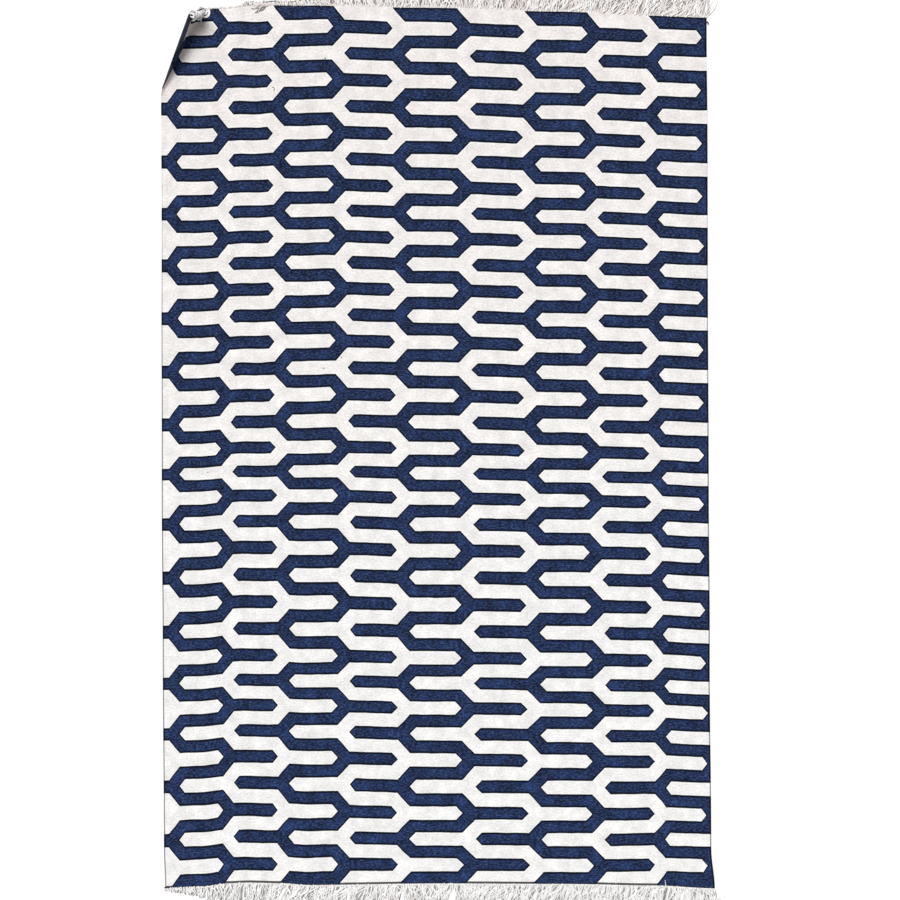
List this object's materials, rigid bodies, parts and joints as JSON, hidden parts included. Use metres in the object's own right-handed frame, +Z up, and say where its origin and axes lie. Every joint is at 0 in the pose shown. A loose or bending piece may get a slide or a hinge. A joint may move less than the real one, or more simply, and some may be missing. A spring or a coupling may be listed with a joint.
{
  "type": "cotton rug",
  "caption": "Flat-woven cotton rug in navy and off-white interlocking bars, with a fringe at both ends, lying flat on the floor with one corner turned up.",
  "frame": {"origin": "centre of the footprint, on the floor", "axes": "+X to the right across the rug, +Y along it towards the head end, +Z up"},
  "size_m": [1.5452, 2.6002, 0.1166],
  "materials": {
    "woven_cotton": "matt, weft-faced flatweave in navy and off-white",
    "undyed_warp": "matt undyed cotton yarn"
  },
  "bodies": {
    "root": {"woven_cloth": "woven_cotton", "head_fringe": "undyed_warp", "foot_fringe": "undyed_warp", "corner_fringe": "undyed_warp"}
  },
  "joints": []
}
